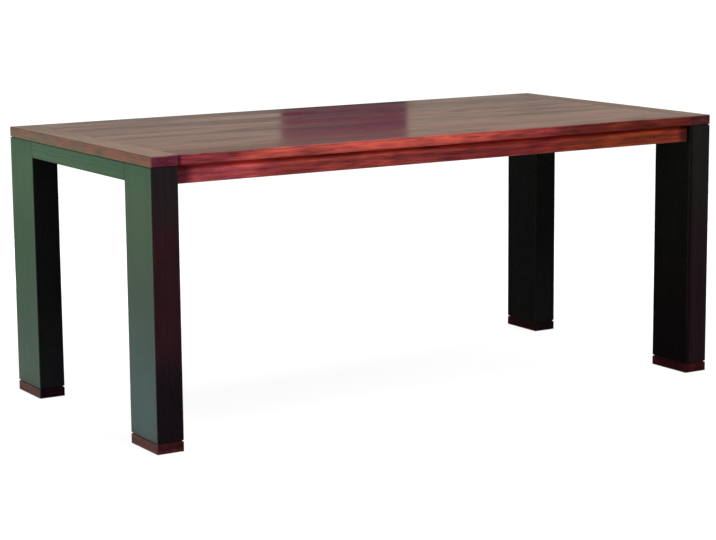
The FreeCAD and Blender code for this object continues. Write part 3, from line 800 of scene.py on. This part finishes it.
def metal(name, look):
    """Turned metal with dull patches and fine scratches."""
    material, tree, shader = blank_material(name)
    place = place_in_frame(tree)
    dull = noise_of(tree, place, DULL_RATE, DULL_DETAIL)
    colour = ramp_of(tree, dull, ((DARK_STOP, look.dark), (PALE_STOP, look.pale)))
    tree.links.new(colour, shader.inputs["Base Color"])
    roughness = range_of(tree, dull, *DULL_LIMITS, look.roughness + DULL_ROUGHNESS, look.roughness)
    tree.links.new(roughness, shader.inputs["Roughness"])
    shader.inputs["Metallic"].default_value = 1.0
    scratches = noise_of(tree, place, SCRATCH_RATE, SCRATCH_DETAIL)
    add_relief(tree, shader, scratches, SCRATCH_STRENGTH, SCRATCH_DEPTH)
    return material


def nylon(name):
    """Dull brown nylon, scuffed pale by the floor."""
    material, tree, shader = blank_material(name)
    scuffs = noise_of(tree, place_in_frame(tree), SCUFF_RATE, SCUFF_DETAIL)
    tree.links.new(ramp_of(tree, scuffs, SCUFF_STOPS), shader.inputs["Base Color"])
    roughness = range_of(tree, scuffs, *SCUFF_LIMITS, *SCUFF_ROUGHNESS)
    tree.links.new(roughness, shader.inputs["Roughness"])
    add_relief(tree, shader, scuffs, SCUFF_STRENGTH, SCUFF_DEPTH)
    return material


def dress_nodes():
    """Gives every CAD node its material."""
    fittings = {
        "steel": metal("zinc_steel", STEEL),
        "brass": metal("brass", BRASS),
        "nylon": nylon("nylon"),
    }
    for number, (name, thing) in enumerate(sorted(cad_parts.items())):
        material = fittings[FITTINGS[name]] if name in FITTINGS else wood(name, number)
        thing.data.materials.clear()
        thing.data.materials.append(material)


# Turned pieces: each CAD solid is measured, and a finer one is turned in its place.
# A ring is a function from an angle to a radius and a distance along the axis from the head end.

Turned = namedtuple("Turned", "place length head_height head_radius shank_radius bore_radius")


def solids_of(name):
    """The separate solids of a CAD node, each as a list of its corners."""
    mesh = bmesh.new()
    mesh.from_mesh(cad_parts[name].data)
    bmesh.ops.remove_doubles(mesh, verts=mesh.verts, dist=SAME_PLACE)
    mesh.verts.index_update()
    seen = set()
    solids = []
    for start in mesh.verts:
        if start.index in seen:
            continue
        seen.add(start.index)
        found = [start]
        for corner in found:
            near = [edge.other_vert(corner) for edge in corner.link_edges]
            fresh = [other for other in near if other.index not in seen]
            seen.update(other.index for other in fresh)
            found += fresh
        solids.append([corner.co.copy() for corner in found])
    mesh.free()
    return solids


def measured(corners, axis):
    """The sizes of a turned solid along an axis, from its wide end to its other end."""
    low, high = (Vector(limit(corner[i] for corner in corners) for i in range(3)) for limit in (min, max))
    middle = (low + high) / 2
    across = [i for i in range(3) if i != axis]
    radii = {}
    for corner in corners:
        radius = math.hypot(*(corner[i] - middle[i] for i in across))
        radii.setdefault(round(corner[axis], LEVEL_DIGITS), []).append(radius)
    levels = sorted(radii)
    if max(radii[levels[0]]) < max(radii[levels[-1]]) - SAME_PLACE:
        levels.reverse()
    head_radius = max(radii[levels[0]])
    seat = [height for height in levels if max(radii[height]) > head_radius - SAME_PLACE][-1]
    start = middle.copy()
    start[axis] = levels[0]
    direction = Vector((0.0, 0.0, 0.0))
    direction[axis] = math.copysign(1.0, levels[-1] - levels[0])
    return Turned(
        place=Matrix.Translation(start) @ direction.to_track_quat("Z", "Y").to_matrix().to_4x4(),
        length=abs(levels[-1] - levels[0]),
        head_height=abs(seat - levels[0]),
        head_radius=head_radius,
        shank_radius=max(radii[levels[-1]]),
        bore_radius=min(min(found) for found in radii.values()),
    )


def level(along, radius):
    """A plain round ring."""
    return lambda turn: (radius, along)


def hexed(along, half_width):
    """A six-sided ring, for a socket."""
    sixth = math.pi / 3
    return lambda turn: (half_width / math.cos((turn + sixth / 2) % sixth - sixth / 2), along)


def knurled(along, radius):
    """A ring with a fine tooth at every second side of a bolt's head."""

    def ring(turn):
        side = round(turn * BOLT_SIDES / (2 * math.pi))
        return radius * (1 - KNURL_SHARE * (side % 2)), along

    return ring


def fluted(along, radius):
    """A ring with shallow flutes."""
    return lambda turn: (radius * (1 - FLUTE_SHARE * max(0.0, math.cos(FLUTES * turn))), along)


def recessed(radius, screw):
    """A ring of a screw's head, sunk where it lies inside the cross of the driver's recess."""
    reach = screw.head_radius * RECESS_REACH_SHARE
    half_width = screw.head_radius * RECESS_WIDTH_SHARE / 2
    depth = screw.head_height * RECESS_DEPTH_SHARE * max(0.0, 1 - (radius / reach) ** 2 / 2)

    def ring(turn):
        narrow, wide = sorted((abs(radius * math.cos(turn)), abs(radius * math.sin(turn))))
        return radius, depth if narrow < half_width and wide < reach else 0.0

    return ring


def thread_ring(along, radius, depth, pitch):
    """One ring of a thread, which runs from crest to root and back in a turn."""
    return lambda turn: (radius - depth * abs(2 * ((along / pitch - turn / (2 * math.pi)) % 1) - 1), along)


def threaded(start, end, radius, depth, pitch):
    """The rings of a thread."""
    count = max(1, round((end - start) / pitch * THREAD_STEPS))
    places = [start + (end - start) * i / count for i in range(count + 1)]
    return [thread_ring(along, radius, depth, pitch) for along in places]


def screw_rings(screw):
    """A pan-head wood screw with a cross recess, a coarse thread and a point."""
    head_end, radius = screw.head_height, screw.shank_radius
    core = radius - SCREW_THREAD_DEPTH
    plain_end = head_end + (screw.length - head_end) * SCREW_PLAIN_SHARE
    thread_end = head_end + (screw.length - head_end) * SCREW_POINT_SHARE
    rings = [recessed(screw.head_radius * share, screw) for share in RECESS_RING_SHARES]
    rings += [level(head_end * down, screw.head_radius * out) for down, out in PAN_HEAD_SHARES]
    rings += [level(head_end, radius), level(plain_end, radius)]
    rings += threaded(plain_end + RIM_ROUND, thread_end, radius, SCREW_THREAD_DEPTH, SCREW_PITCH)
    return rings + [level(thread_end + RIM_ROUND, core), level(screw.length, core * SCREW_TIP_SHARE)]


def bolt_rings(bolt):
    """A socket-head bolt with a knurled head and a machine thread."""
    head_end, radius = bolt.head_height, bolt.shank_radius
    half_width = bolt.bore_radius * math.cos(math.pi / 6)
    rim = bolt.head_radius - HEAD_CHAMFER
    plain_end = head_end + (bolt.length - head_end) * BOLT_PLAIN_SHARE
    thread_end = bolt.length - BOLT_PITCH
    rings = [hexed(head_end * SOCKET_DEPTH_SHARE, half_width), hexed(0.0, half_width), level(0.0, rim)]
    rings += [knurled(along, bolt.head_radius) for along in (HEAD_CHAMFER, head_end - HEAD_CHAMFER)]
    rings += [level(head_end, rim), level(head_end, radius), level(plain_end, radius)]
    rings += threaded(plain_end + RIM_ROUND, thread_end, radius, BOLT_THREAD_DEPTH, BOLT_PITCH)
    return rings + [level(bolt.length, radius - BOLT_PITCH)]


def washer_rings(washer):
    """A flat washer with rounded rims."""
    outer, bore, end = washer.head_radius, washer.bore_radius, washer.length
    rings = [level(0.0, outer - RIM_ROUND), level(RIM_ROUND, outer), level(end - RIM_ROUND, outer)]
    rings += [level(end, outer - RIM_ROUND), level(end, bore + RIM_ROUND), level(end - RIM_ROUND, bore)]
    return rings + [level(RIM_ROUND, bore), level(0.0, bore + RIM_ROUND)]


def insert_rings(insert):
    """A threaded insert with a coarse outer thread and a chamfered bore."""
    outer, bore, end = insert.head_radius, insert.bore_radius, insert.length
    root = outer - INSERT_THREAD_DEPTH
    rings = [level(0.0, root)]
    rings += threaded(RIM_ROUND, end - RIM_ROUND, outer, INSERT_THREAD_DEPTH, INSERT_PITCH)
    rings += [level(end, root), level(end, bore + RIM_ROUND), level(end - RIM_ROUND, bore)]
    return rings + [level(RIM_ROUND, bore), level(0.0, bore + RIM_ROUND)]


def dowel_rings(dowel):
    """A fluted dowel with chamfered ends."""
    tip = dowel.head_radius - DOWEL_CHAMFER
    body = [fluted(along, dowel.head_radius) for along in (DOWEL_CHAMFER, dowel.length - DOWEL_CHAMFER)]
    return [level(0.0, tip), *body, level(dowel.length, tip)]


def peg_rings(peg):
    """A smooth peg, sawn flush at one end and chamfered at the other."""
    radius, chamfered = peg.head_radius, peg.length - DOWEL_CHAMFER
    return [level(0.0, radius), level(chamfered, radius), level(peg.length, radius - DOWEL_CHAMFER)]


def glide_rings(glide):
    """A glide from its seat down to its rounded rim, with a pit for the nail."""
    shoulder, radius = glide.head_height, glide.head_radius
    below = glide.length - shoulder
    rings = [level(0.0, radius), level(shoulder, radius)]
    rings += [level(shoulder + below * down, radius * out) for down, out in GLIDE_RIM_SHARES]
    return rings + [level(glide.length * (1 - up), radius * out) for up, out in GLIDE_PIT_SHARES]


def ring_corners(mesh, place, ring, sides):
    """The corners of one ring."""
    corners = []
    for i in range(sides):
        turn = 2 * math.pi * i / sides
        radius, along = ring(turn)
        corner = Vector((radius * math.cos(turn), radius * math.sin(turn), along))
        corners.append(mesh.verts.new(place @ corner))
    return corners


def lathe(mesh, place, rings, sides, hollow):
    """Adds a surface turned through rings, closed by flats or, if hollow, from last ring to first."""
    loops = [ring_corners(mesh, place, ring, sides) for ring in rings]
    following = loops[1:] + loops[:1] if hollow else loops[1:]
    for first, second in zip(loops, following):
        for i in range(sides):
            j = (i + 1) % sides
            mesh.faces.new((first[i], first[j], second[j], second[i]))
    if not hollow:
        mesh.faces.new(loops[0][::-1])
        mesh.faces.new(loops[-1])


def turned_pieces(name, axis, rings_of, sides, hollow=False):
    """A finer group of turned pieces that stands for a CAD node."""
    mesh = bmesh.new()
    for corners in solids_of(name):
        turned = measured(corners, axis)
        lathe(mesh, turned.place, rings_of(turned), sides, hollow)
    bmesh.ops.recalc_face_normals(mesh, faces=mesh.faces)
    data = bpy.data.meshes.new(f"{name}_turned")
    mesh.to_mesh(data)
    mesh.free()
    data.shade_smooth()
    data.set_sharp_from_angle(angle=math.radians(SHARP_DEGREES))
    data.materials.append(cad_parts[name].data.materials[0])
    piece = bpy.data.objects.new(f"{name}_turned", data)
    bpy.context.scene.collection.objects.link(piece)
    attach(piece, "root")
    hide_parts(name)


def turn_small_pieces():
    """Turns every screw, bolt, washer, insert, dowel, peg and glide."""
    along_x, along_y, along_z = range(3)
    turned_pieces("button_screws", along_z, screw_rings, SCREW_SIDES)
    turned_pieces("batten_screws", along_z, screw_rings, SCREW_SIDES)
    turned_pieces("block_screws", along_y, screw_rings, SCREW_SIDES)
    turned_pieces("leg_bolts", along_x, bolt_rings, BOLT_SIDES)
    turned_pieces("bolt_washers", along_x, washer_rings, ROUND_SIDES, hollow=True)
    turned_pieces("leg_inserts", along_x, insert_rings, ROUND_SIDES, hollow=True)
    turned_pieces("apron_dowels", along_x, dowel_rings, ROUND_SIDES)
    turned_pieces("foot_dowels", along_z, dowel_rings, ROUND_SIDES)
    turned_pieces("breadboard_pegs", along_z, peg_rings, ROUND_SIDES)
    turned_pieces("foot_glides", along_z, glide_rings, ROUND_SIDES)


# Studio


def mesh_object(name, corners, faces):
    """A mesh object in the scene."""
    mesh = bpy.data.meshes.new(name)
    mesh.from_pydata(corners, [], faces)
    thing = bpy.data.objects.new(name, mesh)
    bpy.context.scene.collection.objects.link(thing)
    return thing


def circle(radius, sides):
    """Points round the origin."""
    turns = [2 * math.pi * i / sides for i in range(sides)]
    return [(radius * math.cos(turn), radius * math.sin(turn)) for turn in turns]


def disc(name, radius, height=0.0):
    """A flat round floor or cloth."""
    corners = [(x, y, height) for x, y in circle(radius, STUDIO_SIDES)]
    return mesh_object(name, corners, [list(range(STUDIO_SIDES))])


def backdrop_ray(tree):
    """1 for rays that show the background: from the camera, mirrored, or through glass."""
    path = add(tree, "ShaderNodeLightPath").outputs
    mirrored = math_of(tree, "ADD", path["Is Camera Ray"], path["Is Glossy Ray"])
    return math_of(tree, "ADD", mirrored, path["Is Transmission Ray"], clamp=True)


def add_floor():
    """A white floor that keeps the table's shadow."""
    floor = disc("floor", FLOOR_RADIUS)
    material, tree, shader = blank_material("floor")
    tree.nodes.remove(shader)
    shown = backdrop_ray(tree)
    colour = mixed(tree, shown, FLOOR_BOUNCE_COLOUR, FLOOR_SHOWN_COLOUR)
    matt = add(tree, "ShaderNodeBsdfDiffuse", {"Color": colour}).outputs[0]
    glow = add(tree, "ShaderNodeEmission").outputs[0]
    share = math_of(tree, "MULTIPLY", shown, FLOOR_GLOW_SHARE)
    surface = add(tree, "ShaderNodeMixShader", {0: share, 1: matt, 2: glow}).outputs[0]
    tree.links.new(surface, tree.nodes["Material Output"].inputs["Surface"])
    floor.data.materials.append(material)
    return floor


def add_world():
    """White where it shows, and a plain soft light on the table."""
    world = bpy.data.worlds.new("studio")
    world.use_nodes = True
    bpy.context.scene.world = world
    tree = world.node_tree
    strength = range_of(tree, backdrop_ray(tree), 0.0, 1.0, AMBIENT_STRENGTH, 1.0)
    background = tree.nodes["Background"]
    background.inputs["Color"].default_value = BACKGROUND_COLOUR
    tree.links.new(strength, background.inputs["Strength"])


def mirrored_only(thing, shades):
    """Makes a glowing studio card that shows only as a reflection: a painted reflection that lights
    nothing.
    """
    material, tree, shader = blank_material(thing.name)
    tree.nodes.remove(shader)
    height = parts_of(tree, add(tree, "ShaderNodeTexCoord").outputs["Generated"])["Z"]
    glow = add(tree, "ShaderNodeEmission", {"Color": ramp_of(tree, height, shades)}).outputs[0]
    tree.links.new(glow, tree.nodes["Material Output"].inputs["Surface"])
    thing.data.materials.append(material)
    thing.visible_camera = False
    thing.visible_diffuse = False
    thing.visible_shadow = False
    thing.visible_transmission = False


def add_wall():
    """The grey wall all round."""
    ring = circle(WALL_RADIUS, STUDIO_SIDES)
    corners = [(x, y, z) for z in (0.0, WALL_HEIGHT) for x, y in ring]
    following = [(i + 1) % STUDIO_SIDES for i in range(STUDIO_SIDES)]
    faces = [[i, j, j + STUDIO_SIDES, i + STUDIO_SIDES] for i, j in enumerate(following)]
    mirrored_only(mesh_object("wall", corners, faces), WALL_SHADES)


def add_gap():
    """The dark gap in the wall behind the table."""
    yaw = math.radians(CAMERA_YAW_DEGREES)
    ahead = Vector((math.sin(yaw), math.cos(yaw)))
    right = Vector((math.cos(yaw), -math.sin(yaw)))
    middle = ahead * GAP_DISTANCE + right * GAP_OFFSET
    ends = [middle - right * GAP_WIDTH / 2, middle + right * GAP_WIDTH / 2]
    corners = [(end.x, end.y, z) for z in (0.0, GAP_HEIGHT) for end in ends]
    mirrored_only(mesh_object("gap", corners, [[0, 1, 3, 2]]), GAP_SHADES)


def add_panels():
    """The pale green panels beside the left end, with their feet."""
    section = [(PANEL_FOOT_X, STRIP_LEVEL), (PANEL_X, STRIP_LEVEL), (PANEL_X, PANEL_HEIGHT)]
    for y_limits, low_shades in zip(PANEL_Y_LIMITS, PANEL_LOW_SHADES):
        corners = [(x, y, z) for x, z in section for y in y_limits]
        panel = mesh_object("panel", corners, [[0, 1, 3, 2], [2, 3, 5, 4]])
        mirrored_only(panel, low_shades + PANEL_HIGH_SHADES)


def add_strip():
    """The pale strip on the floor beside the left end."""
    corners = [(x, y, STRIP_LEVEL) for x in (STRIP_X, PANEL_FOOT_X) for y in (PANEL_FRONT, PANEL_BACK)]
    mirrored_only(mesh_object("strip", corners, [[0, 1, 3, 2]]), STRIP_SHADES)


def add_cloth():
    """The dark cloth on the floor."""
    mirrored_only(disc("cloth", CLOTH_RADIUS, CLOTH_LEVEL), CLOTH_SHADES)


def add_lamps():
    """The soft boxes at the front, the right and the back."""
    for name, lamp in LAMPS.items():
        data = bpy.data.lights.new(name, "AREA")
        data.energy = lamp.watts
        data.size = lamp.size
        thing = bpy.data.objects.new(name, data)
        aim = (Vector(lamp.aim) - Vector(lamp.place)).to_track_quat("-Z", "Y")
        thing.matrix_world = Matrix.Translation(lamp.place) @ aim.to_matrix().to_4x4()
        thing.visible_camera = False
        thing.visible_glossy = False
        bpy.context.scene.collection.objects.link(thing)


def add_floor_light(floor):
    """Light from above that falls on the floor alone, where it leaves the table's shadow."""
    data = bpy.data.lights.new("floor_light", "SUN")
    data.energy = FLOOR_LIGHT_STRENGTH
    data.angle = math.radians(FLOOR_LIGHT_SPREAD_DEGREES)
    lamp = bpy.data.objects.new("floor_light", data)
    bpy.context.scene.collection.objects.link(lamp)
    lit = bpy.data.collections.new("floor_only")
    lit.objects.link(floor)
    lamp.light_linking.receiver_collection = lit


def add_camera():
    """The photograph's camera."""
    data = bpy.data.cameras.new("camera")
    data.sensor_width = SENSOR_WIDTH_MM
    data.lens = FOCAL_LENGTH_PIXELS * SENSOR_WIDTH_MM / IMAGE_WIDTH_PIXELS
    data.clip_end = VIEW_DISTANCE
    camera = bpy.data.objects.new("camera", data)
    yaw = Matrix.Rotation(-math.radians(CAMERA_YAW_DEGREES), 4, "Z")
    pitch = Matrix.Rotation(math.pi / 2 - math.radians(CAMERA_PITCH_DEGREES), 4, "X")
    roll = Matrix.Rotation(-math.radians(CAMERA_ROLL_DEGREES), 4, "Z")
    camera.matrix_world = Matrix.Translation(CAMERA_PLACE) @ yaw @ pitch @ roll
    bpy.context.scene.collection.objects.link(camera)
    bpy.context.scene.camera = camera


dress_nodes()
turn_small_pieces()
add_floor_light(add_floor())
add_world()
add_wall()
add_gap()
add_panels()
add_strip()
add_cloth()
add_lamps()
add_camera()
bpy.context.scene.view_settings.view_transform = "Standard"
